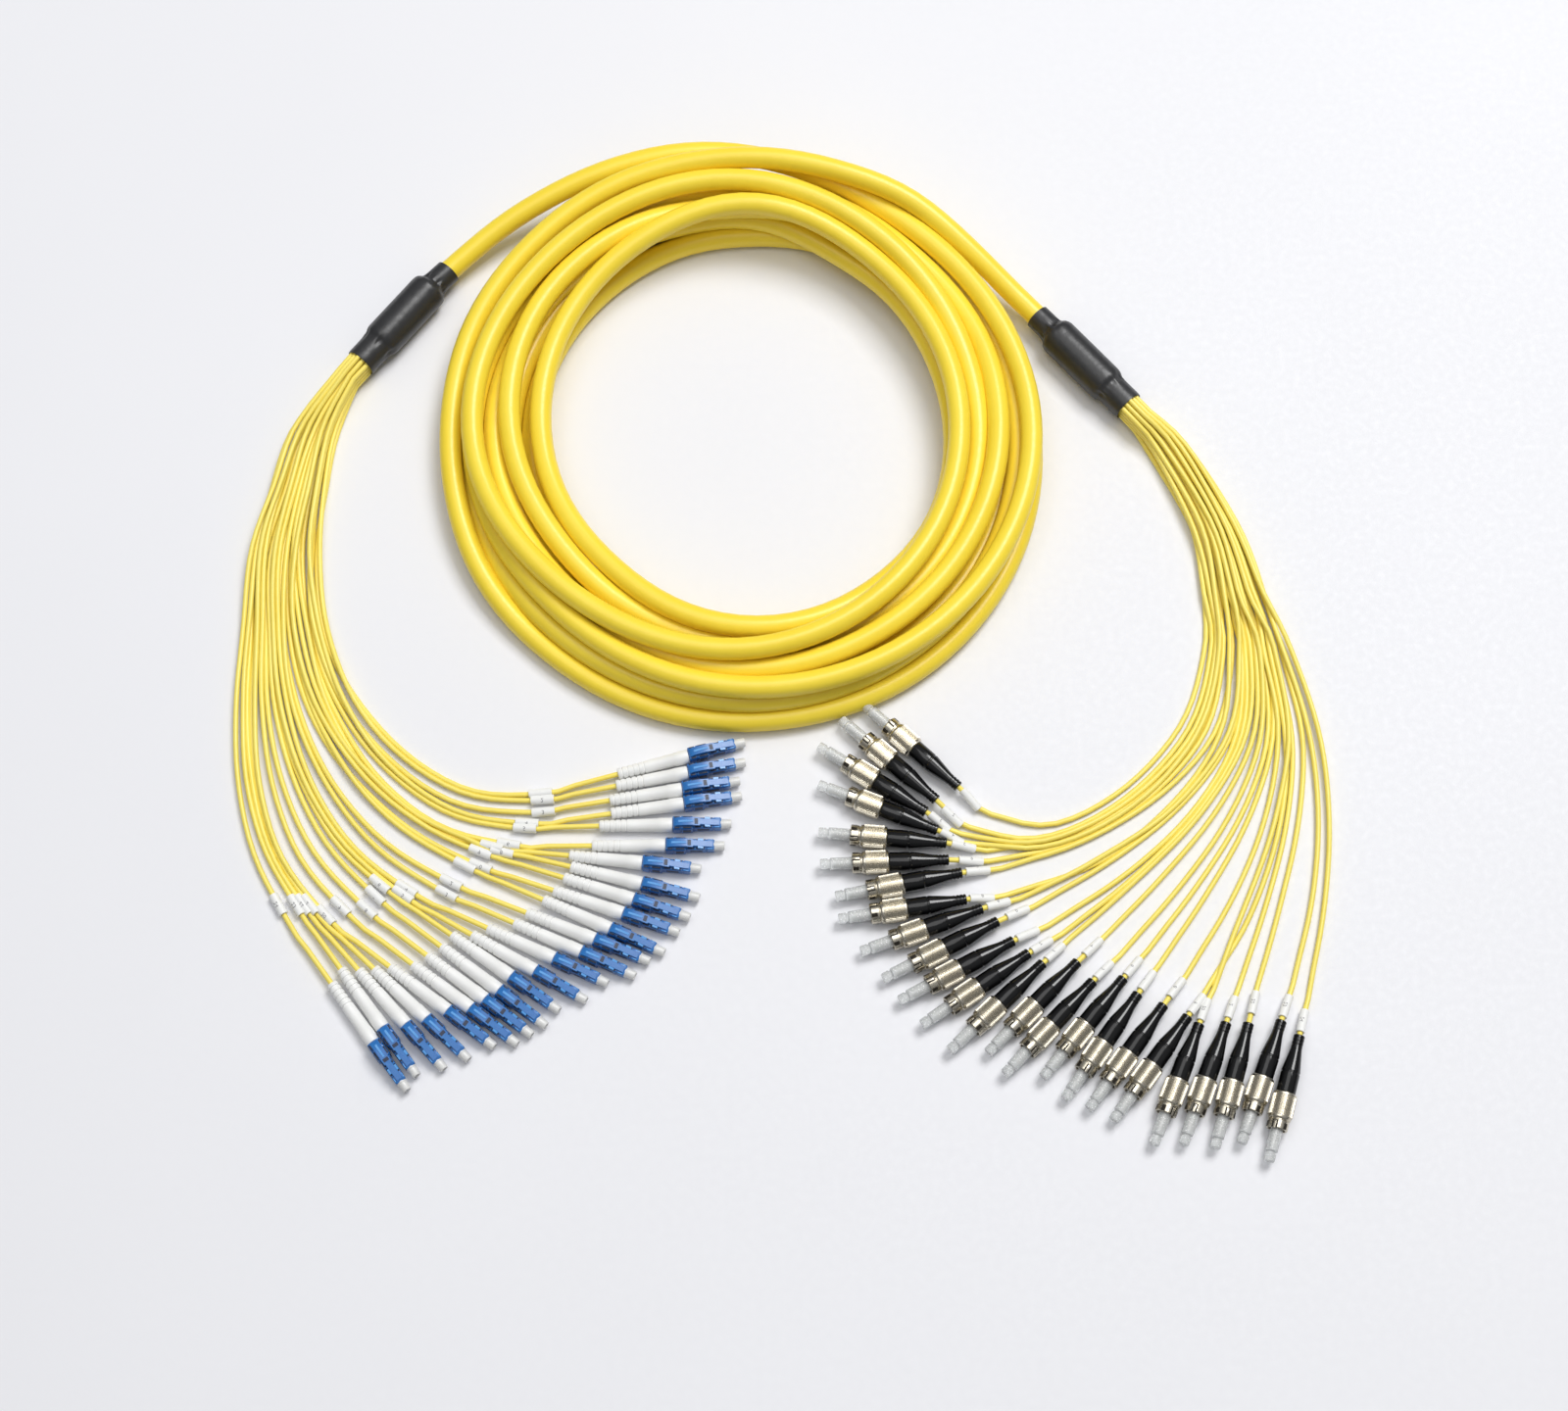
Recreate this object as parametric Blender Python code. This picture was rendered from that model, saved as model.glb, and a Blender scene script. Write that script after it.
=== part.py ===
"""A 24-way fibre breakout cable, coiled and laid out on a level floor.

A yellow trunk cable lies in a round coil. Each of its ends runs into a black breakout sleeve,
where it divides into 24 thin legs. The left sleeve's legs end in small blue push-pull
connectors with white boots, the right sleeve's in round nickel screw connectors with black
boots. All connectors wear their dust caps. Metres, +Z up, floor at Z = 0.
"""

import bmesh
import bpy
from math import cos, pi, radians, sin
from mathutils import Matrix, Vector
from mathutils.geometry import delaunay_2d_cdt

for old in list(bpy.data.objects):
    bpy.data.objects.remove(old, do_unlink=True)

MM = 0.001
GAP = 0.0003  # between pieces that touch

# Trunk cable and its coil
TRUNK_D = 9.5 * MM
COIL_INNER_R = 86 * MM
COIL_COLUMNS = 4.63  # turns side by side
COIL_LAYERS = 3
LAYER_RISE = 10.25 * MM
COIL_OUTER_R = COIL_INNER_R + COIL_COLUMNS * TRUNK_D
COIL_X = -18.5 * MM
COIL_NEAR_Y = -10.5 * MM  # its edge nearest the connectors, which it grows away from
COIL_AT = Vector((COIL_X, COIL_NEAR_Y + COIL_OUTER_R, 0))
COIL_STEPS = 36

# Legs
LEG_D = 2.2 * MM
LEG_ROOM = 0.1 * MM  # between legs where they leave the sleeve
LEG_PITCH = LEG_D + LEG_ROOM
COLUMNS = (4, 5, 6, 5, 4)  # legs above each other across the sleeve's mouth, staggered
COLUMN_PITCH = LEG_PITCH * sin(radians(60))
LEGS = sum(COLUMNS)
LEG_SIDES = 6
LEG_POINTS = 14
LEG_LIFT = 0.1 * MM  # between the lowest legs and the floor
LEG_STRAIGHT = 8 * MM  # out of the sleeve before a leg bends

# Breakout sleeve: heat-shrink over a rigid body, with a neck at each end
SLEEVE_D = 17 * MM
SLEEVE_LENGTH = 36 * MM
SHOULDER = 4 * MM
TRUNK_NECK = 10 * MM
TRUNK_NECK_WALL = 0.9 * MM
LEG_NECK = 12 * MM
LEG_NECK_D = 13.8 * MM
ROOT_DISC = 1.2 * MM  # potting face that the legs stand in

# Push-pull connector with a latch
LC_BOOT = 30 * MM
LC_BOOT_TAIL_D = 4.8 * MM
LC_BOOT_FRONT_D = 5.8 * MM
LC_CLIP = 8.5 * MM
LC_CLIP_W = 5.8 * MM
LC_CLIP_H = 6.6 * MM
LC_PLUG = 11.5 * MM
LC_PLUG_W = 4.6 * MM
LC_CAP = 4.2 * MM
LC_CAP_D = 3.9 * MM
LATCH_W = 3.0 * MM
LATCH_T = 0.9 * MM
LATCH_RISE = 1.7 * MM  # above the clip
LATCH_SET_BACK = 0.5 * MM  # from the plug's nose
LATCH_ROOT = 3.0 * MM  # of it that is moulded to the plug
LATCH_LIP = 0.3 * MM
LATCH_BEND = 1.5 * MM  # where it levels off, before the clip's front
LATCH_HEEL = 3.0 * MM  # where it bends down, from the clip's tail
LATCH_FOOT = 0.6 * MM
LATCH_SINK = 0.5 * MM  # how deep it is moulded in

# Screw connector with a coupling nut
FC_SIDES = 8
FC_BOOT = 24.5 * MM
FC_BOOT_TAIL_D = 4.6 * MM
FC_BOOT_FRONT_D = 6.8 * MM
FC_BOOT_TAIL = 6 * MM
FC_HEAD = 7 * MM
NUT_D = 9.8 * MM
NUT_LENGTH = 11 * MM
RING_D = 8.4 * MM
RING_LENGTH = 4 * MM
CAP_D = 5.0 * MM
CAP_LENGTH = 9 * MM
KNOB_D = 4.4 * MM
KNOB_LENGTH = 4 * MM

# Where each connector lies beside the one before it, as seen in its own direction:
# (free room between them, step forwards, turn in degrees). Millimetres.
LC_FIRST = (-30.0, -21.0, 15.0)
LC_NEXT = (
    (1.8, -2.0, -4), (1.3, -3.7, -2), (0.6, -0.2, -1), (3.7, -5.7, -7), (3.3, -2.9, -1),
    (2.6, -9.4, -6), (4.4, 0.8, -8), (2.2, -1.6, -4), (1.2, -2.1, -1), (2.8, -2.7, -5),
    (0.4, -3.9, 2), (1.4, -3.0, -2), (1.2, -8.8, -1), (2.9, -4.6, -5), (1.9, -7.2, -5),
    (1.8, -0.5, -2), (0.5, -2.2, 0), (0.5, -2.3, 0), (0.5, -6.6, 0), (2.9, -4.8, -6),
    (2.3, -4.3, -5), (2.7, -5.2, -5), (0.5, 2.6, 0),
)
FC_FIRST = (50.0, -17.0, 137.0)
FC_NEXT = (
    (1.2, 2.8, 1), (1.6, -0.6, 9), (0.0, -8.5, 11), (2.7, -6.7, 17), (0.9, -1.6, 7),
    (0.5, -5.4, 9), (0.5, 0.6, -2), (0.7, -6.2, 11), (1.0, -4.2, 7), (0.7, -1.7, 1),
    (0.7, -3.1, 6), (1.4, -2.7, 9), (0.4, -10.6, 2), (0.5, 1.5, 1), (0.3, -9.5, 4),
    (0.6, 1.3, 4), (0.5, -2.3, -1), (0.5, -1.9, 0), (2.8, -1.1, 14), (0.5, -4.6, 1),
    (0.6, -3.2, 4), (0.8, -5.1, -3), (0.8, 3.1, 4),
)

# Sleeve middles and the way their leg ends point: (degrees round the coil, mm clear of it,
# degrees)
LC_SLEEVE = (157.9, 29.2, 232.0)
FC_SLEEVE = (14.4, 22.8, 311.0)

# Where the bundle of legs runs until they part: (first leg x, y, last leg x, y, how much they
# still pile up), and the way the first and the last leg point there, in degrees
LC_FAN = (
    (-193, 126, -212, 126, 1.0), (-198, 98, -219, 98, 1.0), (-199, 68, -226, 68, 0.8),
    (-194, 34, -227, 34, 0.4),
)
LC_PARTING = (-75, -93)
FC_FAN = (
    (158, 116, 175, 116, 1.0), (174, 79, 194, 79, 1.0), (178, 47, 205, 47, 0.7),
    (178, 24, 213, 24, 0.4),
)
FC_PARTING = (-92, -72)
PARTING_BEND = 1.1  # how far each leg swings out between the parting and its connector

# The trunk's two ends, from the coil's top out to the sleeves: (degrees round the coil,
# degrees round the outer top turn, mm clear of it)
LC_TRUNK_END = ((95, 62, 0.4), (100, 57, 0.4), (106, 36, 0.4), (113, 4, 0.9), (121, -20, 5.4),
                (130, -28, 11.6), (138, -31, 17.5))
FC_TRUNK_END = ((78, 61, 0.4), (71, 54, 0.4), (63, 32, 0.4), (54, 0, 0.4), (44, -36, 2.6),
                (33, -48, 8.6))
TRUNK_END_POINTS = 20

# How far behind its connector each leg comes in line with it, and how high it lies there
LC_APPROACH = 30 * MM
FC_APPROACH = 22 * MM
APPROACH_Z = LEG_D / 2 + 0.8 * MM


def finish(name, colour, roughness, metallic=0.0):
    material = bpy.data.materials.new(name)
    material.use_nodes = True
    shader = material.node_tree.nodes["Principled BSDF"]
    shader.inputs["Base Color"].default_value = (*colour, 1)
    shader.inputs["Roughness"].default_value = roughness
    shader.inputs["Metallic"].default_value = metallic
    return material


TRUNK_JACKET = finish("trunk_jacket", (0.80, 0.56, 0.03), 0.45)
LEG_JACKET = finish("leg_jacket", (0.85, 0.62, 0.05), 0.45)
HEAT_SHRINK = finish("heat_shrink", (0.02, 0.02, 0.022), 0.5)
BLUE_HOUSING = finish("blue_housing", (0.03, 0.16, 0.50), 0.35)
NICKEL = finish("nickel", (0.62, 0.59, 0.52), 0.3, 1.0)

origin = bpy.data.objects.new("cable_origin", None)
bpy.context.scene.collection.objects.link(origin)


def add(name, data, material, matrix=None):
    if not data.materials:
        data.materials.append(material)
    piece = bpy.data.objects.new(name, data)
    bpy.context.scene.collection.objects.link(piece)
    piece.parent = origin
    if matrix is not None:
        piece.matrix_local = matrix
    return piece


def mesh_from(name, bm):
    bmesh.ops.recalc_face_normals(bm, faces=bm.faces)
    mesh = bpy.data.meshes.new(name)
    bm.to_mesh(mesh)
    bm.free()
    mesh.shade_smooth()
    mesh.set_sharp_from_angle(angle=radians(35))
    return mesh


def loft(bm, rings, ends=True):
    """Joins rings of equally many points into a skin, and closes its two ends."""
    loops = [[bm.verts.new(point) for point in ring] for ring in rings]
    for near, far in zip(loops, loops[1:]):
        for k in range(len(near)):
            after = (k + 1) % len(near)
            bm.faces.new((near[k], near[after], far[after], far[k]))
    if ends:
        bm.faces.new(loops[0])
        bm.faces.new(loops[-1])


def turned(name, profile, sides):
    """A solid turned about X from (x, radius) points, with a flat underneath."""
    bm = bmesh.new()
    turn = [2 * pi * (k + 0.5) / sides for k in range(sides)]
    loft(bm, [[(x, r * sin(a), -r * cos(a)) for a in turn] for x, r in profile])
    return mesh_from(name, bm)


def smooth_route(points, count):
    """Evenly spaced points on one smooth curve through the route's own points."""
    ends = [2 * points[0] - points[1], *points, 2 * points[-1] - points[-2]]
    fine = []
    for a, b, c, d in zip(ends, ends[1:], ends[2:], ends[3:]):
        for step in range(16):
            t = step / 16
            fine.append(
                0.5 * (2 * b + (c - a) * t + (2 * a - 5 * b + 4 * c - d) * t * t
                       + (3 * b - a - 3 * c + d) * t ** 3)
            )
    fine.append(points[-1].copy())
    run = [0.0]
    for a, b in zip(fine, fine[1:]):
        run.append(run[-1] + (b - a).length)
    even, k = [], 0
    for step in range(count):
        want = run[-1] * step / (count - 1)
        while k < len(run) - 2 and run[k + 1] < want:
            k += 1
        share = (want - run[k]) / (run[k + 1] - run[k])
        even.append(fine[k].lerp(fine[k + 1], min(max(share, 0.0), 1.0)))
    return even


def heading(degrees):
    return Vector((cos(radians(degrees)), sin(radians(degrees)), 0))


def placed(at, degrees):
    return Matrix.Translation(at) @ Matrix.Rotation(radians(degrees), 4, "Z")


# Trunk coil: one turned ring whose section shows the outer turns as lobes
r_in, r_out = COIL_INNER_R + TRUNK_D / 2, COIL_OUTER_R - TRUNK_D / 2
z_of = [TRUNK_D / 2 + LAYER_RISE * k for k in range(COIL_LAYERS)]
top_count = int(COIL_COLUMNS)
lobes = [(r_out, z, (-32, 32)) for z in z_of[:-1]] + [(r_out, z_of[-1], (-32, 20, 70))]
for k in range(1, top_count - 1):
    across = r_out + (r_in - r_out) * k / (top_count - 1)
    lobes.append((across, z_of[-1], (60, 120)))
lobes += [(r_in, z_of[-1], (110, 160, 212))] + [(r_in, z, (148, 212)) for z in z_of[-2::-1]]
outline = [(r_out - 0.2 * TRUNK_D, 0.0)]
for r, z, angles in lobes:
    outline += [(r + cos(radians(a)) * TRUNK_D / 2, z + sin(radians(a)) * TRUNK_D / 2)
                for a in angles]
outline.append((r_in + 0.2 * TRUNK_D, 0.0))
bm = bmesh.new()
rings = []
for k in range(COIL_STEPS):
    a = 2 * pi * k / COIL_STEPS
    rings.append([(r * cos(a), r * sin(a), z) for r, z in outline])
loft(bm, rings + rings[:1], ends=False)
bmesh.ops.remove_doubles(bm, verts=bm.verts, dist=1e-6)
add("trunk_coil", mesh_from("trunk_coil", bm), TRUNK_JACKET, Matrix.Translation(COIL_AT))

# Breakout sleeves, turned, lying on the floor on their thick middles
TRUNK_NECK_D = TRUNK_D + 2 * TRUNK_NECK_WALL
half = SLEEVE_LENGTH / 2
sleeve_mesh = turned("breakout_sleeve", (
    (-half - TRUNK_NECK, TRUNK_NECK_D / 2), (-half, TRUNK_NECK_D / 2),
    (-half + SHOULDER / 3, SLEEVE_D / 2 * 0.93), (-half + SHOULDER, SLEEVE_D / 2),
    (half - SHOULDER, SLEEVE_D / 2), (half - SHOULDER / 3, SLEEVE_D / 2 * 0.93),
    (half, LEG_NECK_D / 2), (half + LEG_NECK, LEG_NECK_D / 2)), 16)
SLEEVE_Z = SLEEVE_D / 2 * cos(pi / 16)
sleeve_places = {}
for side, (round_coil, clear, degrees) in (("lc", LC_SLEEVE), ("fc", FC_SLEEVE)):
    at = COIL_AT + (COIL_OUTER_R + clear * MM) * heading(round_coil)
    at.z = SLEEVE_Z
    sleeve_places[side] = (at, degrees)
    add(f"breakout_sleeve_{side}", sleeve_mesh, HEAT_SHRINK, placed(at, degrees))

# Trunk tails: from the top of the coil down into each sleeve
for side, route in (("lc", LC_TRUNK_END), ("fc", FC_TRUNK_END)):
    at, degrees = sleeve_places[side]
    points = []
    for round_coil, round_turn, clear in route:
        away = TRUNK_D + GAP + clear * MM
        r = r_out + away * cos(radians(round_turn))
        z = z_of[-1] + away * sin(radians(round_turn))
        points.append(COIL_AT + r * heading(round_coil) + Vector((0, 0, z)))
    back = -heading(degrees)
    mouth = at + back * (half + TRUNK_NECK + GAP)
    points += [mouth + back * TRUNK_D * 0.8, mouth]
    curve = bpy.data.curves.new(f"trunk_tail_{side}", "CURVE")
    curve.dimensions = "3D"
    curve.bevel_depth = TRUNK_D / 2
    curve.bevel_resolution = 2
    curve.use_fill_caps = True
    even = smooth_route(points, TRUNK_END_POINTS)
    spline = curve.splines.new("POLY")
    spline.points.add(len(even) - 1)
    for held, point in zip(spline.points, even):
        held.co = (*point, 1)
    add(f"trunk_tail_{side}", curve, TRUNK_JACKET)

# Push-pull connector: boot, latched housing and cap, along +X from the boot's tail
LC_TAIL_Z = LC_CLIP_H / 2


def eight(x, width, height):
    """A rectangle with cut corners, as eight points."""
    w, h = width / 2, height / 2
    c = min(w, h) * 0.3
    return [(x, w, c - h), (x, w, h - c), (x, w - c, h), (x, c - w, h),
            (x, -w, h - c), (x, -w, c - h), (x, c - w, -h), (x, w - c, -h)]


def round_eight(x, diameter):
    angles = [radians(45 * k - 22.5) for k in range(8)]
    return [(x, diameter / 2 * cos(a), diameter / 2 * sin(a)) for a in angles]


clip_end = LC_BOOT + LC_CLIP
plug_end = clip_end + LC_PLUG
bm = bmesh.new()
loft(bm, [
    round_eight(0, LC_BOOT_TAIL_D), round_eight(LC_BOOT, LC_BOOT_FRONT_D),
    eight(LC_BOOT, LC_CLIP_W, LC_CLIP_H), eight(clip_end, LC_CLIP_W, LC_CLIP_H),
    eight(clip_end, LC_PLUG_W, LC_PLUG_W), eight(plug_end, LC_PLUG_W, LC_PLUG_W),
    round_eight(plug_end, LC_CAP_D), round_eight(plug_end + LC_CAP, LC_CAP_D)])
lc_body = bpy.data.objects.new("lc_body", mesh_from("lc_connector_body", bm))

# Its latch lever: a springy strip from the plug's nose up over the clip
top, low = LC_CLIP_H / 2, LC_PLUG_W / 2
rise = top + LATCH_RISE
toe, foot = plug_end - LATCH_SET_BACK, LC_BOOT + LATCH_FOOT
heel, bend = LC_BOOT + LATCH_HEEL, clip_end - LATCH_BEND
strip = [
    (toe, low - LATCH_SINK), (toe, low + LATCH_LIP), (bend, rise), (heel, rise - LATCH_LIP),
    (foot, top + LATCH_LIP), (foot, top - LATCH_SINK), (foot + LATCH_T, top - LATCH_SINK),
    (heel + LATCH_LIP, rise - LATCH_LIP - LATCH_T), (bend - LATCH_LIP, rise - LATCH_T),
    (toe - LATCH_ROOT, low - LATCH_SINK)]
bm = bmesh.new()
loft(bm, [[(x, y, z) for x, z in strip] for y in (-LATCH_W / 2, LATCH_W / 2)])
lc_latch = bpy.data.objects.new("lc_latch", mesh_from("lc_latch", bm))
for helper in (lc_body, lc_latch):
    bpy.context.scene.collection.objects.link(helper)
    helper.hide_render = True
join = lc_body.modifiers.new("latch", "BOOLEAN")
join.operation = "UNION"
join.object = lc_latch
bpy.context.view_layer.update()
graph = bpy.context.evaluated_depsgraph_get()
lc_mesh = bpy.data.meshes.new_from_object(lc_body.evaluated_get(graph))
lc_mesh.name = "lc_connector"
for helper in (lc_body, lc_latch):
    bpy.data.objects.remove(helper, do_unlink=True)

# Screw connector: boot, coupling nut, front ring and capped ferrule, along +X
nut_end = FC_BOOT + NUT_LENGTH
ring_end = nut_end + RING_LENGTH
cap_end = ring_end + CAP_LENGTH
fc_mesh = turned("fc_connector", (
    (0, FC_BOOT_TAIL_D / 2), (FC_BOOT_TAIL, FC_BOOT_TAIL_D / 2),
    (FC_BOOT - FC_HEAD, FC_BOOT_FRONT_D / 2), (FC_BOOT, FC_BOOT_FRONT_D / 2),
    (FC_BOOT, NUT_D / 2), (nut_end, NUT_D / 2), (nut_end, RING_D / 2),
    (ring_end, RING_D / 2), (ring_end, CAP_D / 2), (cap_end, CAP_D / 2),
    (cap_end, KNOB_D / 2), (cap_end + KNOB_LENGTH, KNOB_D / 2)), FC_SIDES)
FC_Z = NUT_D / 2 * cos(pi / FC_SIDES)


def row_of(first, steps, width, hand):
    """(middle, degrees) of each connector, each laid beside the one before."""
    at, degrees = Vector((first[0] * MM, first[1] * MM, 0)), first[2]
    row = [(at, degrees)]
    for room, forwards, turn in steps:
        side = heading(degrees - 90 * hand)
        at = at + side * (width + room * MM) + heading(degrees) * forwards * MM
        degrees += turn
        row.append((at, degrees))
    return row


def leg_fan(side, tails, fan, parting, approach):
    """24 legs as one solid, standing in the potting face at the sleeve's mouth."""
    at, degrees = sleeve_places[side]
    out = heading(degrees)
    across = heading(degrees + (90 if side == "lc" else -90))
    mouth = at + out * (half + LEG_NECK + GAP)
    column_of, height_of = [], []
    for column, count in enumerate(COLUMNS):
        column_of += [column] * count
        height_of += list(range(count))
    bm = bmesh.new()
    rim_r = (max(COLUMNS) - 1) / 2 * LEG_PITCH + LEG_D / 2
    up = Vector((0, 0, 1))
    lowest = LEG_D / 2 + LEG_LIFT
    face_at = mouth + out * ROOT_DISC

    def round_the(middle, radius, sides, phase):
        return [middle + radius * (across * cos(2 * pi * k / sides + phase)
                                   + up * sin(2 * pi * k / sides + phase))
                for k in range(sides)]

    back = [bm.verts.new(p) for p in round_the(mouth, rim_r, 24, 0)]
    front = [bm.verts.new(p) for p in round_the(face_at, rim_r, 24, 0)]
    bm.faces.new(back)
    for k in range(24):
        bm.faces.new((back[k], back[(k + 1) % 24], front[(k + 1) % 24], front[k]))
    rim_edges = [(k, (k + 1) % 24) for k in range(24)]
    corners = list(front)
    flat = [rim_r * Vector((cos(2 * pi * k / 24), sin(2 * pi * k / 24))) for k in range(24)]
    roots, routes, centres = [], [], []
    for leg in range(LEGS):
        share = leg / (LEGS - 1)
        column, height = column_of[leg], height_of[leg]
        u = ((len(COLUMNS) - 1) / 2 - column) * COLUMN_PITCH
        v = (height - (COLUMNS[column] - 1) / 2) * LEG_PITCH
        start = face_at + across * u + up * v
        loop = [bm.verts.new(p) for p in round_the(start, LEG_D / 2, LEG_SIDES, 0)]
        base = len(corners)
        corners += loop
        centres.append(Vector((u, v)))
        for k in range(LEG_SIDES):
            a = 2 * pi * k / LEG_SIDES
            flat.append(Vector((u + LEG_D / 2 * cos(a), v + LEG_D / 2 * sin(a))))
            rim_edges.append((base + k, base + (k + 1) % LEG_SIDES))
        roots.append(loop)
        points = [start, start + out * LEG_STRAIGHT]
        for x1, y1, x2, y2, pile in fan:
            z = lowest + height * pile * LEG_PITCH
            points.append(Vector(((x1 + (x2 - x1) * share) * MM,
                                  (y1 + (y2 - y1) * share) * MM, z)))
        tail, along = tails[leg]
        near = tail - along * approach
        near.z = APPROACH_Z
        # One free bend from where the legs part to where each comes in line
        parted, reach = points[-1], (near - points[-1]).length * PARTING_BEND
        ahead = heading(parting[0] + (parting[1] - parting[0]) * share)
        for t in (0.25, 0.5, 0.75):
            points.append(parted * (2 * t ** 3 - 3 * t ** 2 + 1) + near * (3 * t ** 2 - 2 * t ** 3)
                          + ahead * reach * (t ** 3 - 2 * t ** 2 + t)
                          + along * reach * (t ** 3 - t ** 2))
        points += [near, tail - along * GAP]
        route = smooth_route(points, LEG_POINTS)
        for point in route:
            point.z = max(point.z, lowest)
        routes.append(route)
    # The potting face, with a hole at the root of each leg
    found = delaunay_2d_cdt([p / MM for p in flat], rim_edges, [], 0, 1e-6)
    for face in found[2]:
        middle = sum((found[0][k] for k in face), Vector((0, 0))) * MM / len(face)
        if all((middle - centre).length > 0.4 * LEG_D for centre in centres):
            bm.faces.new([corners[found[3][k][0]] for k in face])
    for loop, route in zip(roots, routes):
        rim, side_way = loop, across
        for k, point in enumerate(route[1:], 1):
            ahead = route[min(k + 1, len(route) - 1)] - route[k - 1]
            ahead.normalize()
            side_way = (side_way - ahead * side_way.dot(ahead)).normalized()
            upright = ahead.cross(side_way) if side == "fc" else side_way.cross(ahead)
            if upright.z < 0:
                upright = -upright
            ring = [bm.verts.new(point + LEG_D / 2 * (side_way * cos(2 * pi * j / LEG_SIDES)
                                                      + upright * sin(2 * pi * j / LEG_SIDES)))
                    for j in range(LEG_SIDES)]
            for j in range(LEG_SIDES):
                after = (j + 1) % LEG_SIDES
                bm.faces.new((rim[j], rim[after], ring[after], ring[j]))
            rim = ring
        bm.faces.new(rim)
    add(f"{side}_legs", mesh_from(f"{side}_legs", bm), LEG_JACKET)


lc_middle = LC_BOOT + (LC_CLIP + LC_PLUG) / 2
lc_row = row_of(LC_FIRST, LC_NEXT, LC_CLIP_W, 1)
fc_middle = FC_BOOT + NUT_LENGTH / 2
fc_row = row_of(FC_FIRST, FC_NEXT, NUT_D, -1)
tails = []
for k, (at, degrees) in enumerate(lc_row, 1):
    tail = at - heading(degrees) * lc_middle + Vector((0, 0, LC_TAIL_Z))
    tails.append((tail, heading(degrees)))
    add(f"lc_connector_{k:02d}", lc_mesh, BLUE_HOUSING, placed(tail, degrees))
leg_fan("lc", tails, LC_FAN, LC_PARTING, LC_APPROACH)
tails = []
for k, (at, degrees) in enumerate(fc_row, 1):
    tail = at - heading(degrees) * fc_middle + Vector((0, 0, FC_Z))
    tails.append((tail, heading(degrees)))
    add(f"fc_connector_{k:02d}", fc_mesh, NICKEL, placed(tail, degrees))
leg_fan("fc", tails, FC_FAN, FC_PARTING, FC_APPROACH)

# The origin is on the floor, under the middle of the whole cable
bpy.context.view_layer.update()
graph = bpy.context.evaluated_depsgraph_get()
low, high = [1e9, 1e9], [-1e9, -1e9]
for piece in origin.children:
    shown = piece.evaluated_get(graph)
    mesh = shown.to_mesh()
    for vertex in mesh.vertices:
        world = shown.matrix_world @ vertex.co
        for axis in (0, 1):
            low[axis] = min(low[axis], world[axis])
            high[axis] = max(high[axis], world[axis])
    shown.to_mesh_clear()
origin.location = (-(low[0] + high[0]) / 2, -(low[1] + high[1]) / 2, 0)
bpy.context.view_layer.update()
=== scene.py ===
"""A 24-way fibre breakout cable on a level floor, dressed over its CAD frame.

A yellow trunk cable lies in a loose coil. Each end runs into a black breakout sleeve, where 24
thin legs come out and spread to small blue push-pull connectors on the left and to nickel screw
connectors on the right. The script follows the cable as it is made up. Metres, +Z up.
"""

from math import ceil, cos, exp, pi, radians, sin

import bmesh
import bpy
import numpy as np
from mathutils import Matrix, Vector
from mathutils.kdtree import KDTree


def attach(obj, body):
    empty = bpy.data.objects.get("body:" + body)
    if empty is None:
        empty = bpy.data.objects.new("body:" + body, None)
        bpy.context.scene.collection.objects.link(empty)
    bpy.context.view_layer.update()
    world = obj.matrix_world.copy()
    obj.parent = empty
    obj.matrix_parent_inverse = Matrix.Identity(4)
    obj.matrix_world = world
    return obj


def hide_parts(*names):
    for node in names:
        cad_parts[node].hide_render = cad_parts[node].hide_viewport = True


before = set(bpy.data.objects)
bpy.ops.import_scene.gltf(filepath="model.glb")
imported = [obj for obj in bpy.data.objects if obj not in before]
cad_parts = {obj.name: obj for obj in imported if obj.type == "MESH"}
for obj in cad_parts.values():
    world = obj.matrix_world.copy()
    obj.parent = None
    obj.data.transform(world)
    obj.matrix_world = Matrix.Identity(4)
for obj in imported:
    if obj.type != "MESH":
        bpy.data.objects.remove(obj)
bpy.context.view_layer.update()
MM = 0.001

# Camera. It looks down on the cable at 70 degrees from the connectors' side, 1.1 m away,
# through a 60 mm lens. LAYOUT is where the point it looks at lies in the frame.
LAYOUT = Vector((1.8761, -30.7221, 0)) * MM
CAMERA_AT = LAYOUT + Vector((0, -376.2, 1033.7)) * MM
CAMERA_TILT = 20  # from straight down, in degrees
CAMERA_LENS = 60.37  # for a frame 36 mm wide
camera_data = bpy.data.cameras.new("camera")
camera_data.sensor_width = 36
camera_data.lens = CAMERA_LENS
camera_data.clip_start = 0.01
camera = bpy.data.objects.new("camera", camera_data)
bpy.context.scene.collection.objects.link(camera)
camera.location = CAMERA_AT
camera.rotation_euler = (radians(CAMERA_TILT), 0, 0)
bpy.context.scene.camera = camera

# Trunk cable. One length of round yellow cable, 24 fibres and aramid yarn in an extruded
# jacket, thrown into a loose coil of ten turns. It leaves the left sleeve, climbs on the
# coil, winds through it and comes off its top to the right sleeve.
TRUNK_D = 9.5 * MM
COIL_AT = LAYOUT + Vector((-18.5, 119.485, 0)) * MM
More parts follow.
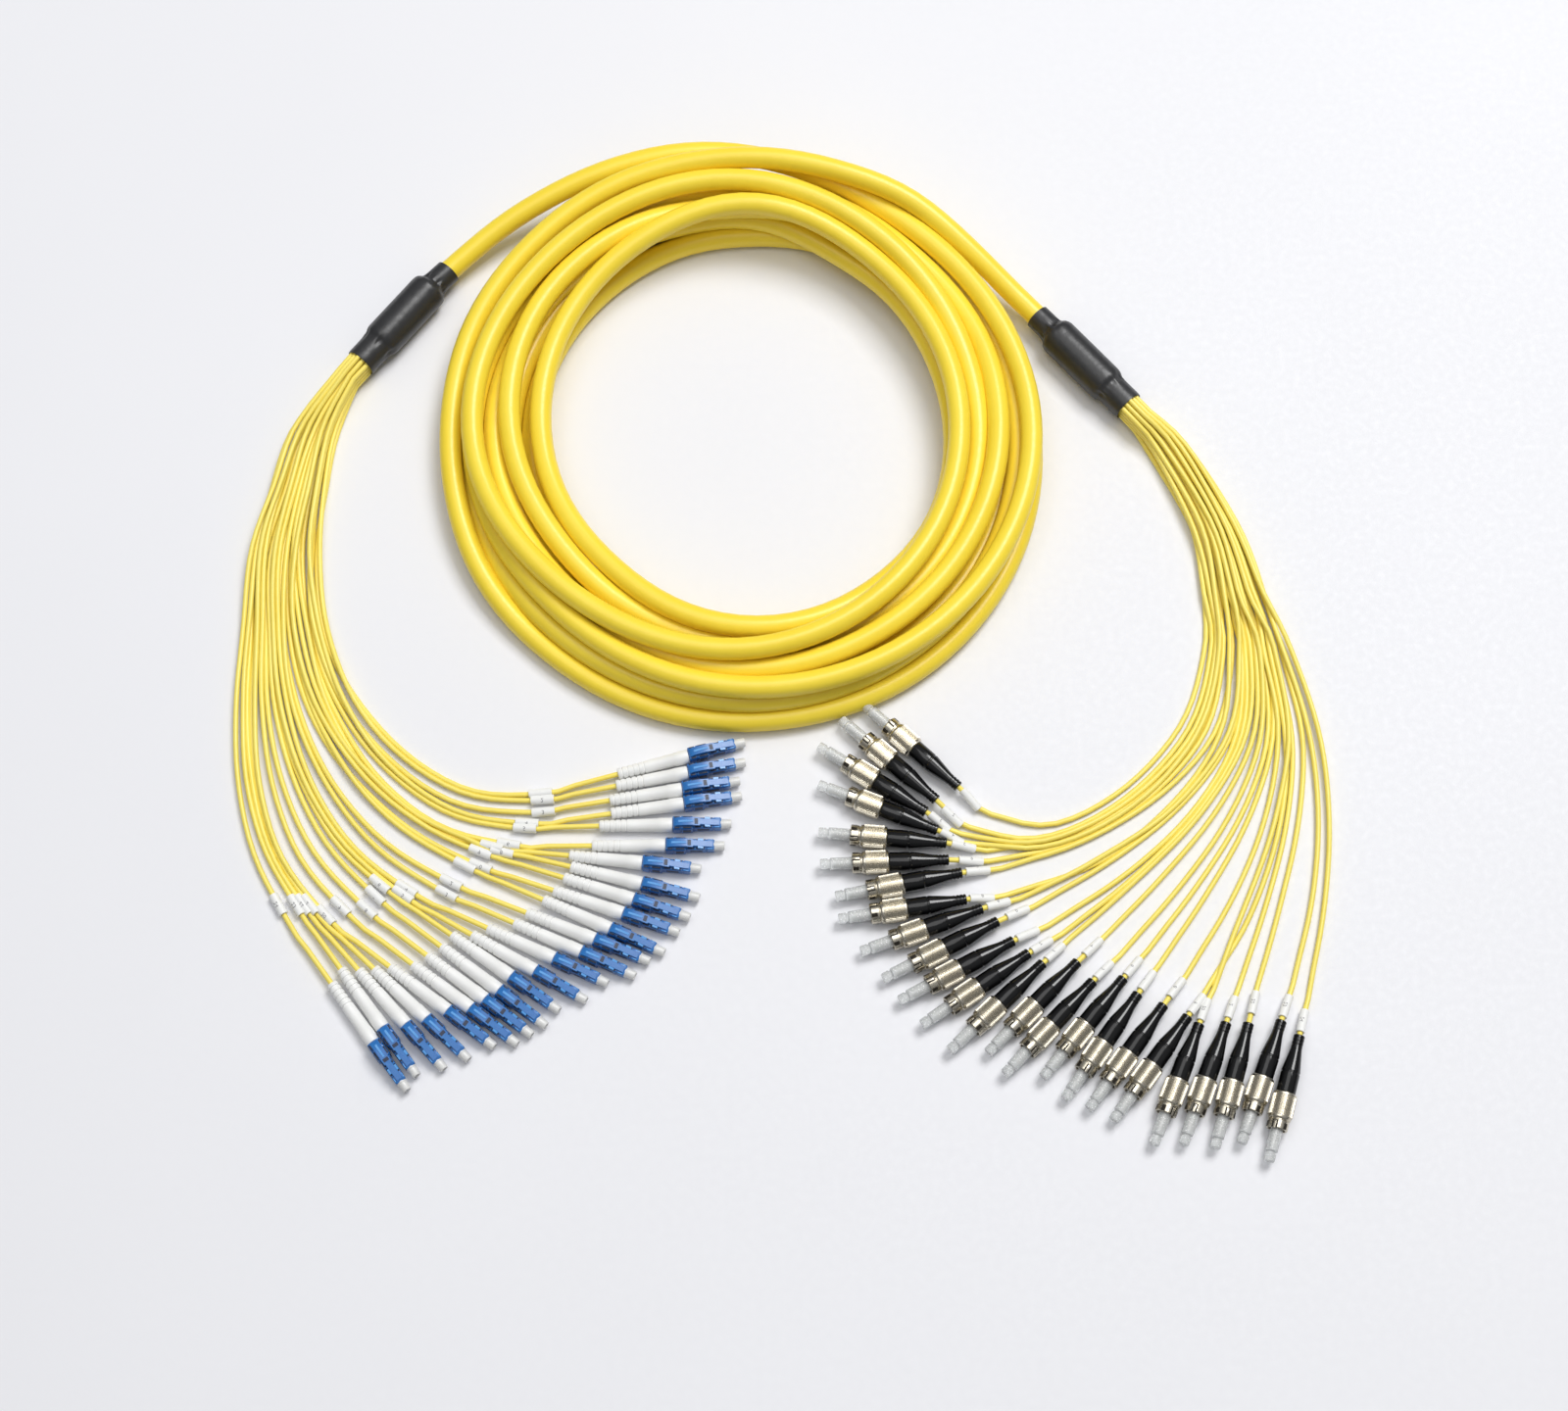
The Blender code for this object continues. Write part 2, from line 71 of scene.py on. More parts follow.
# Each turn's (radius, height) in mm at eight stations, clockwise from the coil's far side
TURNS = (
    ((131, 27.5), (121, 22.5), (123, 20.5), (123, 21),
     (119.8, 21.5), (112.5, 17), (115.5, 14.5), (116.5, 18)),
    ((117, 22), (113, 19), (110.4, 23), (110.5, 22),
     (110.5, 19.5), (102.5, 17), (106.5, 16.5), (107, 14)),
    ((107, 13), (96.5, 17.5), (92.5, 16), (95, 18),
     (92.5, 23), (84.5, 20.5), (86.5, 18.5), (95, 23)),
    ((105.6, 30), (97, 25), (93.4, 25.5), (96.5, 26.5),
     (104.9, 27.5), (106, 26), (115.7, 25), (114.5, 29.5)),
    ((115.5, 33), (104.5, 27), (102.8, 19.5), (101, 16),
     (98, 13.5), (91.5, 20), (98.6, 23), (106, 25)),
    ((106.3, 21.5), (104, 14.3), (97.5, 8.5), (95.5, 4.75),
     (97.5, 4.75), (91.5, 4.75), (90.5, 4.75), (96, 4.75)),
    ((103.5, 4.75), (105, 4.75), (106.5, 4.75), (106, 4.75),
     (107.5, 4.75), (101.5, 4.75), (100.3, 4.75), (106, 4.75)),
    ((114, 4.75), (115, 4.75), (116, 4.75), (116, 4.75),
     (117.5, 4.75), (111.5, 4.75), (110.5, 4.75), (116.5, 7)),
    ((121, 13), (119.5, 12.8), (119.5, 12.8), (120.5, 12.8),
     (121, 12.8), (116, 10.5), (120.3, 5.5), (124, 4.75)),
    ((124.5, 4.75), (125, 4.75), (125.5, 4.75), (128, 4.75),
     (127.7, 4.75), (123.5, 8)),
)
# How it climbs on, from the left sleeve, and comes off: (degrees round the coil, radius, height)
CLIMB = ((145, 152.7, 9), (143, 150.9, 10), (139, 148.2, 12), (134, 144.9, 15), (128, 141.9, 19),
         (119, 138.4, 25), (110, 135.4, 28.5), (100, 132.8, 29.5))
COME_OFF = ((177, 124.7, 14.5), (169, 126, 16), (162, 127.4, 18), (154, 127.6, 20),
            (145, 127, 22), (136, 126.5, 24), (122, 127.8, 28), (111, 127.4, 31),
            (101, 126.2, 32.5), (91, 126.2, 33.5), (82, 126.4, 34), (72, 125.8, 33),
            (62, 126.4, 30), (51, 128.6, 25), (40, 132.1, 19), (32, 136.3, 14),
            (29, 139.1, 11))
# Both sleeves: degrees round the coil, distance from its middle, the way the legs point
SLEEVES = {"lc": (157.9, 159.185, 232.0), "fc": (14.4, 152.785, 311.0)}
SLEEVE_Z = 8.337 * MM
SLEEVE_HALF = 18 * MM
# How the trunk bends in each sleeve's neck: sideways per mm squared, beyond so many mm
NECK_BENDS = {"lc": (0.0036, 13), "fc": (-0.0022, 21)}
NECK_RISE = 0.006  # and upwards, beyond the neck's end
NECK_END = 28
NECK_STATIONS = (-20, -24, -28, -33, -38)  # mm from the sleeve's middle
DEGREES_A_POINT = 3.75
TRUNK_STEP = 7.5 * MM
STATION_ROUNDS, ROUTE_ROUNDS = 11, 4  # how much its stiffness evens the stations and the route
SWING_WITHIN = 60  # degrees over which the unevenness comes in and goes
UNEVEN = ((1.31, 0.4), (2.17, 0.3), (3.4, 0.15))  # waves a turn, and mm in and out


def heading(degrees):
    return Vector((cos(radians(degrees)), sin(radians(degrees)), 0))


def smooth_curve(points, steps):
    """The smooth curve through the given points, in so many steps from each to the next."""
    points = np.array(points, float)
    ends = np.vstack([2 * points[0] - points[1], points, 2 * points[-1] - points[-2]])
    t = np.linspace(0, 1, steps, endpoint=False)[:, None, None]
    a, b, c, d = ends[:-3], ends[1:-2], ends[2:-1], ends[3:]
    fine = 0.5 * (2 * b + (c - a) * t + (2 * a - 5 * b + 4 * c - d) * t ** 2
                  + (3 * b - a - 3 * c + d) * t ** 3)
    return np.vstack([fine.transpose(1, 0, 2).reshape(-1, 3), points[-1]])


def even_route(points, step):
    """Evenly spaced points, step apart, on the smooth curve through the given ones."""
    fine = smooth_curve(points, 12)
    run = np.concatenate([[0], np.cumsum(np.linalg.norm(np.diff(fine, axis=0), axis=1))])
    want = np.linspace(0, run[-1], max(2, ceil(run[-1] / step) + 1))
    return np.column_stack([np.interp(want, run, fine[:, k]) for k in range(3)])


def hermite(t):
    """What a smooth step counts at t: its start, the slope there, its end, the slope there."""
    return (2 * t ** 3 - 3 * t ** 2 + 1, t ** 3 - 2 * t ** 2 + t, 3 * t ** 2 - 2 * t ** 3,
            t ** 3 - t ** 2)


def settle(cords, diameter, held, ease, rounds, sink, stiff):
    """Cords laid over each other come to rest: they push each other apart, and drop to the
    floor. cords is (cords, points, 3), held is how many points at each end stay put, ease is
    over how many more they come free, sink is how far they drop each round, and stiff is over
    how many points a push spreads, as rounds of averaging."""
    shape = cords.shape
    points = cords.reshape(-1, 3).copy()
    owner = np.repeat(np.arange(shape[0]), shape[1])
    index = np.tile(np.arange(shape[1]), shape[0])
    from_end = np.minimum(index, shape[1] - 1 - index)
    free = np.clip((from_end - held + 1) / ease, 0, 1)[:, None]
    own = 4  # points so near along one cord don't push each other
    rounds_a_search, search_reach = 12, 1.5 * diameter
    for turn in range(rounds):
        if turn % rounds_a_search == 0:
            tree = KDTree(len(points))
            for k, point in enumerate(points):
                tree.insert(point, k)
            tree.balance()
            pairs = np.array([
                (k, j) for k, point in enumerate(points)
                for _, j, _ in tree.find_range(point, search_reach)
                if j > k and (owner[j] != owner[k] or j - k > own)
            ])
        if not len(pairs):
            break
        first, second = pairs.T
        apart = points[second] - points[first]
        distance = np.maximum(np.linalg.norm(apart, axis=1), 1e-7)
        push = apart * (np.clip(diameter - distance, 0, None) / distance)[:, None]
        move, met = np.zeros_like(points), np.ones(len(points))
        np.add.at(move, first, -push)
        np.add.at(move, second, push)
        np.add.at(met, first, distance < diameter)
        np.add.at(met, second, distance < diameter)
        move = (move / met[:, None]).reshape(shape)
        for _ in range(stiff):
            move[:, 1:-1] = (move[:, :-2] + 2 * move[:, 1:-1] + move[:, 2:]) / 4
        move = move.reshape(-1, 3)
        move[:, 2] -= sink
        points += move * free
        points[:, 2] = np.maximum(points[:, 2], diameter / 2)
    return points.reshape(shape)


def sleeve_place(side):
    """The middle of a sleeve, and the way its legs point, in degrees."""
    round_coil, distance, degrees = SLEEVES[side]
    at = COIL_AT + distance * MM * heading(round_coil)
    at.z = SLEEVE_Z
    return at, degrees


def neck_offset(side, x):
    """How far sideways the trunk has bent at x mm along its sleeve."""
    bend, beyond = NECK_BENDS[side]
    return bend * max(0.0, -x - beyond) ** 2


def trunk_route():
    """The trunk's points, from inside the left sleeve's neck to inside the right one's."""
    stations = [(-degrees, r, z) for degrees, r, z in CLIMB]
    for turn, sides in enumerate(TURNS):
        stations += [(-90 + 360 * turn + 45 * k, r, z) for k, (r, z) in enumerate(sides)]
    stations += [(360 * len(TURNS) - degrees, r, z) for degrees, r, z in COME_OFF]
    angle, radius, height = np.array(stations, float).T
    slope_r, slope_z = np.gradient(radius, angle), np.gradient(height, angle)
    fine = np.arange(angle[0], angle[-1], DEGREES_A_POINT)
    k = np.clip(np.searchsorted(angle, fine, side="right") - 1, 0, len(angle) - 2)
    span = angle[k + 1] - angle[k]
    start, leave, end, arrive = hermite((fine - angle[k]) / span)
    r, z = (
        start * v[k] + leave * span * s[k] + end * v[k + 1] + arrive * span * s[k + 1]
        for v, s in ((radius, slope_r), (height, slope_z)))
    # The cable is too stiff to follow each station
    for _ in range(STATION_ROUNDS):
        for values in (r, z):
            values[1:-1] = (values[:-2] + 2 * values[1:-1] + values[2:]) / 4
    # No turn of a loose coil is quite round
    chance = np.random.default_rng(24)
    in_coil = (np.clip((fine - angle[0] - SWING_WITHIN) / SWING_WITHIN, 0, 1)
               * np.clip((angle[-1] - 180 - fine) / SWING_WITHIN, 0, 1))
    for waves, swing in UNEVEN:
        phase = chance.uniform(0, 2 * pi)
        r = r + swing * in_coil * np.sin(np.radians(fine) * waves + phase)
    round_coil = np.radians(-fine)
    coil = np.column_stack([COIL_AT.x + r * MM * np.cos(round_coil),
                            COIL_AT.y + r * MM * np.sin(round_coil), z * MM])
    ends = []
    for side in ("lc", "fc"):
        at, degrees = sleeve_place(side)
        ends.append([
            at + (heading(degrees) * x + heading(degrees + 90) * neck_offset(side, x)
                  + Vector((0, 0, NECK_RISE * max(0, -x - NECK_END) ** 2))) * MM
            for x in NECK_STATIONS])
    whole = np.vstack([np.array(ends[0]), coil[2:-2], np.array(ends[1][::-1])])
    route = even_route(whole, TRUNK_STEP)
    for _ in range(ROUTE_ROUNDS):
        route[2:-2] = (route[1:-3] + 2 * route[2:-2] + route[3:-1]) / 4
    lain = settle(route[None], TRUNK_D, held=3, ease=12, rounds=130, sink=0.02 * MM, stiff=10)
    return even_route(lain[0], TRUNK_STEP)


def colour(code):
    """The linear colour of an sRGB hex code."""
    parts = [int(code[k:k + 2], 16) / 255 for k in (1, 3, 5)]
    return (*[c / 12.92 if c <= 0.04045 else ((c + 0.055) / 1.055) ** 2.4 for c in parts], 1)


def node(material, kind, inputs=None, **settings):
    """Adds a node to a material with its settings, and gives each input a value or a link."""
    made = material.node_tree.nodes.new(kind)
    for name, value in settings.items():
        setattr(made, name, value)
    for name, value in (inputs or {}).items():
        if isinstance(value, bpy.types.NodeSocket):
            material.node_tree.links.new(value, made.inputs[name])
        else:
            made.inputs[name].default_value = value
    return made


def moulded(name, light, dark, rough, patch, grain, relief, **sockets):
    """A material whose colour drifts between two shades over patches of one size in mm, and
    whose surface has grain of another size in mm, with that relief in mm."""
    material = bpy.data.materials.new(name)
    material.use_nodes = True
    shader = material.node_tree.nodes["Principled BSDF"]
    for socket, value in sockets.items():
        shader.inputs[socket.replace("_", " ")].default_value = value
    place = node(material, "ShaderNodeTexCoord").outputs["Object"]
    drift = node(material, "ShaderNodeTexNoise",
                 {"Vector": place, "Scale": 1 / (patch * MM), "Detail": 3.0}).outputs["Fac"]
    shade = node(material, "ShaderNodeMix", {"Factor": drift, 6: colour(dark), 7: colour(light)},
                 data_type="RGBA")
    fine = node(material, "ShaderNodeTexNoise",
                {"Vector": place, "Scale": 1 / (grain * MM), "Detail": 4.0}).outputs["Fac"]
    gloss = node(material, "ShaderNodeMapRange", {
        "Value": fine, "From Min": 0.3, "From Max": 0.7, "To Min": rough * 0.85,
        "To Max": min(1.0, rough * 1.2)})
    bump = node(material, "ShaderNodeBump",
                {"Height": fine, "Distance": relief * MM, "Strength": 1.0})
    links = material.node_tree.links
    links.new(shade.outputs[2], shader.inputs["Base Color"])
    links.new(gloss.outputs[0], shader.inputs["Roughness"])
    links.new(bump.outputs[0], shader.inputs["Normal"])
    return material


def cord_piece(name, points, diameter, bevel, material):
    """A round cord along its points, riding the body."""
    data = bpy.data.curves.new(name, "CURVE")
    data.dimensions = "3D"
    data.bevel_depth = diameter / 2
    data.bevel_resolution = bevel
    data.use_fill_caps = True
    spline = data.splines.new("POLY")
    spline.points.add(len(points) - 1)
    for held, point in zip(spline.points, points):
        held.co = (*point, 1)
    data.materials.append(material)
    piece = bpy.data.objects.new(name, data)
    bpy.context.scene.collection.objects.link(piece)
    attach(piece, "root")
    return piece


# Low-smoke jacket, extruded and slightly matt: a strong yellow with a soft sheen along its top
# and faint rubbed patches a few centimetres long.
trunk_jacket = moulded("low-smoke cable jacket", "#fee548", "#f8d836", 0.33, 30, 1.2, 0.02,
                       IOR=1.5)
trunk_points = trunk_route()
trunk = cord_piece("trunk_cable", trunk_points, TRUNK_D, 7, trunk_jacket)
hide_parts("trunk_coil", "trunk_tail_lc", "trunk_tail_fc")

# Breakout sleeves. A rigid splitter body under glued heat-shrink tube, which is drawn in to a
# neck over the trunk at one end and over the 24 legs at the other, and puckers at both. In mm.
SLEEVE_R = 8.33
TRUNK_NECK_R = 5.65
LEG_NECK = 12
LEG_NECK_R = 6.9
NECK_WALL = 0.7
SLEEVE_SIDES = 56


def shell(name, bm, materials, smooth=32):
    """A mesh from bm with its materials, smooth but for edges sharper than that."""
    bmesh.ops.recalc_face_normals(bm, faces=bm.faces)
    mesh = bpy.data.meshes.new(name)
    bm.to_mesh(mesh)
    bm.free()
    for material in materials:
        mesh.materials.append(material)
    mesh.shade_smooth()
    mesh.set_sharp_from_angle(angle=radians(smooth))
    return mesh


def skin(bm, rings, slot=0, closed=False):
    """Joins rings of equally many points, in mm, into a skin. It is shut at both ends, or else
    closed, with its last ring joined to the first."""
    loops = [[bm.verts.new(Vector(point) * MM) for point in ring] for ring in rings]
    made = []
    for near, far in zip(loops, loops[1:] + loops[:1] if closed else loops[1:]):
        for k in range(len(near)):
            after = (k + 1) % len(near)
            made.append(bm.faces.new((near[k], near[after], far[after], far[k])))
    if not closed:
        made += [bm.faces.new(loops[0][::-1]), bm.faces.new(loops[-1])]
    for face in made:
        face.material_index = slot


def turned(bm, profile, sides, slot=0, closed=False):
    """A skin turned about X from (x, radius) points in mm."""
    angles = [2 * pi * k / sides for k in range(sides)]
    skin(bm, [[(x, r * sin(a), r * cos(a)) for a in angles] for x, r in profile], slot, closed)


def put(name, mesh, matrix, slot, *replaced):
    """A piece from a mesh, riding the body, in place of CAD nodes."""
    piece = bpy.data.objects.new(name, mesh)
    piece.matrix_world = matrix
    bpy.context.scene.collection.objects.link(piece)
    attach(piece, "root")
    if replaced:
        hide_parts(*replaced)
    return piece


def placed(at, degrees):
    return Matrix.Translation(at) @ Matrix.Rotation(radians(degrees), 4, "Z")


def sleeve_mesh(name, side, seed):
    chance = np.random.default_rng(seed)
    shape = ((-28, TRUNK_NECK_R), (-19, TRUNK_NECK_R), (-18, TRUNK_NECK_R + 0.2), (-16.9, 7.6),
             (-15.5, 8.2), (-14, SLEEVE_R), (14, SLEEVE_R), (15.5, 8.25), (16.9, 7.9),
             (18, LEG_NECK_R + 0.15), (19, LEG_NECK_R), (29.4, LEG_NECK_R),
             (30, LEG_NECK_R - 0.15))
    xs = np.concatenate([np.linspace(-28, -13, 26), np.linspace(-12, 12, 13),
                         np.linspace(13, 30, 30)])
    radii = np.interp(xs, *zip(*shape))
    radii[1:-1] = (radii[:-2] + 2 * radii[1:-1] + radii[2:]) / 4
    folds = [(waves, chance.uniform(0, 2 * pi), chance.uniform(-0.25, 0.25))
             for waves in (7, 11, 17)]
    rings = []
    for x, r in zip(xs, radii):
        # It puckers where it drops to each neck
        pucker = 0.20 * exp(-((x + 18.5) / 2.2) ** 2) + 0.16 * exp(-((x - 18.8) / 2.4) ** 2)
        ring = []
        for k in range(SLEEVE_SIDES):
            a = 2 * pi * k / SLEEVE_SIDES
            fold = sum(sin(waves * a + phase + lean * x) for waves, phase, lean in folds)
            here = min(r + pucker * fold, SLEEVE_R)
            ring.append((x, neck_offset(side, x) + here * sin(a), here * cos(a)))
        rings.append(ring)
    inner = ((29.8, LEG_NECK_R - NECK_WALL), (25, LEG_NECK_R - NECK_WALL - 0.1))
    back = ((-21, TRUNK_NECK_R - 0.8), (-27.8, TRUNK_NECK_R - 0.75))
    bm = bmesh.new()

    def circle(x, r):
        return [(x, neck_offset(side, x) + r * sin(2 * pi * k / SLEEVE_SIDES),
                 r * cos(2 * pi * k / SLEEVE_SIDES)) for k in range(SLEEVE_SIDES)]

    skin(bm, [circle(*back[0]), circle(*back[1])] + rings + [circle(*p) for p in inner])
    return shell(name, bm, [heat_shrink], 50)


# Heat-shrink polyolefin: black with a satin sheen, its surface a little uneven where it has
# gone soft over the parts below.
heat_shrink = moulded("heat-shrink polyolefin", "#343435", "#252526", 0.34, 12, 2.6, 0.10,
                      IOR=1.5)
for side, seed in (("lc", 5), ("fc", 8)):
    at, degrees = sleeve_place(side)
    put(f"breakout_sleeve_tube_{side}", sleeve_mesh(f"sleeve_{side}", side, seed),
        placed(at, degrees), "heat_shrink", f"breakout_sleeve_{side}")

# Legs. Each is one fibre in aramid yarn under a thin jacket. They stand packed in the sleeve's
# mouth, run on as a loose bundle, cross, and part one by one towards their connectors.
LEG_D = 2.2 * MM
LEG_PITCH = 2.3 * MM
COLUMNS = (4, 5, 6, 5, 4)
LEG_STRAIGHT = 8 * MM
LEG_INTO_BOOT = 3  # mm
LEG_LOWEST = LEG_D / 2 + 0.1 * MM
APPROACH_Z = 2.3 * MM  # where the marker sleeves lift the legs off the floor
STEPS_A_STATION = 13
LAYERS_AT_MOST = 4
LEG_INSIDE = 5 * MM  # how far each starts inside the sleeve's mouth
LEG_STEP = 7 * MM
HELD_STATIONS = 4  # the last ones, which stay where the boot needs them
WANDER_KEPT, WANDER = 0.45, 1.5  # how each leg strays across the fan, in legs
WANDER_LEAST = 0.3  # and the share of it that is left where no legs pile up
OUTERMOST = 0.03  # how far beyond the outer legs one may stray, as a share of the fan
LEAST_PILE = 0.25
# Where the bundle of legs runs until they part: (first leg x, y, last leg x, y, how much they
# still pile up), and the way the first and the last leg point there, in degrees
LC_FAN = (
    (-193, 126, -212, 126, 1.0), (-198, 98, -219, 98, 1.0), (-199, 68, -226, 68, 0.8),
    (-194, 34, -227, 34, 0.4),
)
LC_PARTING = (-75, -93)
FC_FAN = (
    (158, 116, 175, 116, 1.0), (174, 79, 194, 79, 1.0), (178, 47, 205, 47, 0.7),
    (178, 24, 213, 24, 0.4),
)
FC_PARTING = (-92, -70)
# How the legs part into groups: (leg, how far across the fan it runs)
GROUPS = {"lc": ((0, 0), (7, 0.24), (8, 0.40), (16, 0.68), (17, 0.77), (23, 1)),
          "fc": ((0, 0), (12, 0.48), (13, 0.55), (21, 0.84), (22, 0.89), (23, 1.02))}
PARTING_BEND = 1.06  # how far each leg swings out between the parting and its connector


def row_of(first, steps, width, hand):
    """(middle, degrees) of each connector, each laid beside the one before."""
    at, degrees = Vector((first[0], first[1], 0)) * MM, first[2]
    row = [(at, degrees)]
    for room, forwards, turn in steps:
        side = heading(degrees - 90 * hand)
        at = at + side * (width + room) * MM + heading(degrees) * forwards * MM
        degrees += turn
        row.append((at, degrees))
    return row


def leg_routes(side, tails, fan, parting, approach, seed):
    """The points of 24 legs, from inside the sleeve's mouth to inside their boots."""
    chance = np.random.default_rng(seed)
    at, degrees = sleeve_place(side)
    out = heading(degrees)
    across = heading(degrees + (90 if side == "lc" else -90))
    mouth = at + out * (SLEEVE_HALF + LEG_NECK * MM)
    places = [(column, height) for column, count in enumerate(COLUMNS) for height in range(count)]
    last = len(places) - 1
    routes = []
    for leg, (column, height) in enumerate(places):
        u = ((len(COLUMNS) - 1) / 2 - column) * LEG_PITCH * sin(radians(60))
        v = (height - (COLUMNS[column] - 1) / 2) * LEG_PITCH
        start = mouth + across * u + Vector((0, 0, v))
        stations = [start - out * LEG_INSIDE, start, start + out * LEG_STRAIGHT]
        layer = height * LAYERS_AT_MOST / COLUMNS[column]
        wander = 0.0
        for x1, y1, x2, y2, pile in fan:
            wander = WANDER_KEPT * wander + chance.uniform(-WANDER, WANDER)
            share = (leg + wander * (WANDER_LEAST + pile)) / last
            share = min(max(share, -OUTERMOST), 1 + OUTERMOST)
            share += (1 - pile) * (np.interp(leg, *zip(*GROUPS[side])) - leg / last)
            stations.append(LAYOUT + Vector((
                (x1 + (x2 - x1) * share) * MM, (y1 + (y2 - y1) * share) * MM,
                LEG_LOWEST + layer * max(pile, LEAST_PILE) * LEG_D)))
        tail, along = tails[leg]
        near = tail - along * approach
        near.z = APPROACH_Z
        # One free bend from where the legs part to where each comes in line
        parted, reach = stations[-1], (near - stations[-1]).length * PARTING_BEND
        ahead = heading(parting[0] + (parting[1] - parting[0]) * leg / last)
        for t in (0.25, 0.5, 0.75):
            first, leave, end, arrive = hermite(t)
            stations.append(parted * first + near * end + ahead * reach * leave
                            + along * reach * arrive)
        step = (tail - near) / 3
        inside = tail + step.normalized() * LEG_INTO_BOOT * MM
        stations += [near, near + step, near + 2 * step, tail, inside]
        routes.append(smooth_curve(stations, STEPS_A_STATION))
    legs = np.array(routes)
    legs[:, :, 2] = np.maximum(legs[:, :, 2], LEG_LOWEST)
    held_tail = legs[:, -HELD_STATIONS * STEPS_A_STATION:].copy()
    legs = settle(legs, LEG_D, held=STEPS_A_STATION, ease=1, rounds=70, sink=0.01 * MM, stiff=24)
    legs[:, -HELD_STATIONS * STEPS_A_STATION:] = held_tail
    # Every fourth point is enough for a smooth route
    return [even_route(leg[::4], LEG_STEP) for leg in legs]


# The legs' jacket is the trunk's in a thinner wall: paler, and a little smoother.
leg_jacket = moulded("thin leg jacket", "#fdeb76", "#f7e05e", 0.33, 18, 0.9, 0.01, IOR=1.5)

# Push-pull connectors, on the left. A soft white boot, a clip and plug moulded in blue with a
# springy latch, and a short dust cap. LC_FIRST is where the first one's middle lies, in mm, and
# the way it points; LC_NEXT is the free room, the step forwards and the turn to each next one.
LC_FIRST = (-30.0, -21.0, 15.0)
LC_NEXT = (
    (1.8, -2.0, -4), (1.3, -3.7, -2), (0.6, -0.2, -1), (3.7, -5.7, -7), (3.3, -2.9, -1),
    (2.6, -9.4, -6), (4.4, 0.8, -8), (2.2, -1.6, -4), (1.2, -2.1, -1), (2.8, -2.7, -5),
    (0.4, -3.9, 2), (1.4, -3.0, -2), (1.2, -8.8, -1), (2.9, -4.6, -5), (1.9, -7.2, -5),
    (1.8, -0.5, -2), (0.5, -2.2, 0), (0.5, -2.3, 0), (0.5, -6.6, 0), (2.9, -4.8, -6),
    (2.3, -4.3, -5), (2.7, -5.2, -5), (0.5, 2.6, 0),
)
LC_MIDDLE = 40 * MM
LC_AXIS_Z = 3.3 * MM
LC_APPROACH = 30 * MM  # how far its leg runs in line behind it
LC_WIDTH = 5.8
LC_HEIGHT = 6.6
# Along it from the boot's tail, in mm
LC_BOOT = 30
LC_CLIP_END = 38.5
LC_NOSE = 50
LC_END = 54.2
# Their markers' length, radius and height of the digits, and how far behind the boot they lie
# on the first and on the last leg, and a little more or less from leg to leg
LC_MARKER = (9.6, 1.95, 2.5)
LC_MARKERS_AT = (29, 36)
LC_SCATTER = (0, 3.5, 1.2, -2.4, 4.6)
MARKER_BORE_R = 1.2
MARKER_SIDES = 20
MARKER_OFF_FLOOR = 0.05
INK_TURN = 0.35  # how far round from the top its number is printed, in radians
INK_PROUD = 0.02


def boxed(x, width, height, corner, y=0.0, z=0.0):
    """A ring of 16 points at x: a rectangle with rounded corners, in mm."""
    ring = []
    for quarter, (sy, sz) in enumerate(((1, 1), (-1, 1), (-1, -1), (1, -1))):
        for step in range(4):
            a = pi / 2 * quarter + pi / 6 * step
            ring.append((x, y + sy * (width / 2 - corner) + corner * cos(a),
                         z + sz * (height / 2 - corner) + corner * sin(a)))
    return ring


def slab(bm, low, high, slot=0, corner=0.12):
    """A small block with rounded edges along X, between two corners in mm."""
    width, height = high[1] - low[1], high[2] - low[2]
    y, z = (low[1] + high[1]) / 2, (low[2] + high[2]) / 2
    corner = min(corner, width * 0.45, height * 0.45)
    skin(bm, [boxed(low[0], width - corner, height - corner, corner * 0.5, y, z),
              boxed(low[0] + corner, width, height, corner, y, z),
              boxed(high[0] - corner, width, height, corner, y, z),
              boxed(high[0], width - corner, height - corner, corner * 0.5, y, z)], slot)


def ringed(length, first, second, groove_from, pitch, rings, groove, depth):
    """The (x, radius) profile of a boot with rings cut round it to let it bend."""
    def radius(x):
        return first + (second - first) * x / length
    profile = []
    for k in range(rings):
        x = groove_from + pitch * k
        profile += [(x, radius(x)), (x + groove * 0.25, radius(x) - depth),
                    (x + groove * 0.75, radius(x) - depth), (x + groove, radius(x))]
    return profile


def marker(name, length, radius, number, size):
    """A marker sleeve with its number printed twice round it, centred on the origin."""
    bm = bmesh.new()
    half, bore = length / 2, MARKER_BORE_R
    turned(bm, ((-half, radius - 0.12), (-half + 0.15, radius), (half - 0.15, radius),
                (half, radius - 0.12), (half, bore), (-half, bore)), MARKER_SIDES, closed=True)
    text = bpy.data.curves.new("number", "FONT")
    text.body = str(number)
    text.size = size * MM
    text.align_x, text.align_y = "CENTER", "CENTER"
    text.resolution_u = 2
    holder = bpy.data.objects.new("number", text)
    flat = holder.to_mesh()
    for turn in (INK_TURN, INK_TURN + pi):
        corners = []
        for vertex in flat.vertices:
            a = turn + vertex.co.y / MM / radius
            r = radius + INK_PROUD
            corners.append(bm.verts.new(Vector((vertex.co.x / MM, -r * sin(a), r * cos(a))) * MM))
        for polygon in flat.polygons:
            bm.faces.new([corners[k] for k in polygon.vertices]).material_index = 1
    holder.to_mesh_clear()
    bpy.data.objects.remove(holder)
    bpy.data.curves.remove(text)
    return shell(name, bm, [marker_film, marker_ink])


# Marker sleeves: white shrink tube, silky, printed with a plain grey number.
marker_film = moulded("white marker tube", "#f4f4f1", "#ebebe8", 0.4, 6, 0.6, 0.01, IOR=1.5)
marker_ink = moulded("grey marking ink", "#8e8e90", "#77777a", 0.6, 2, 0.3, 0.005)
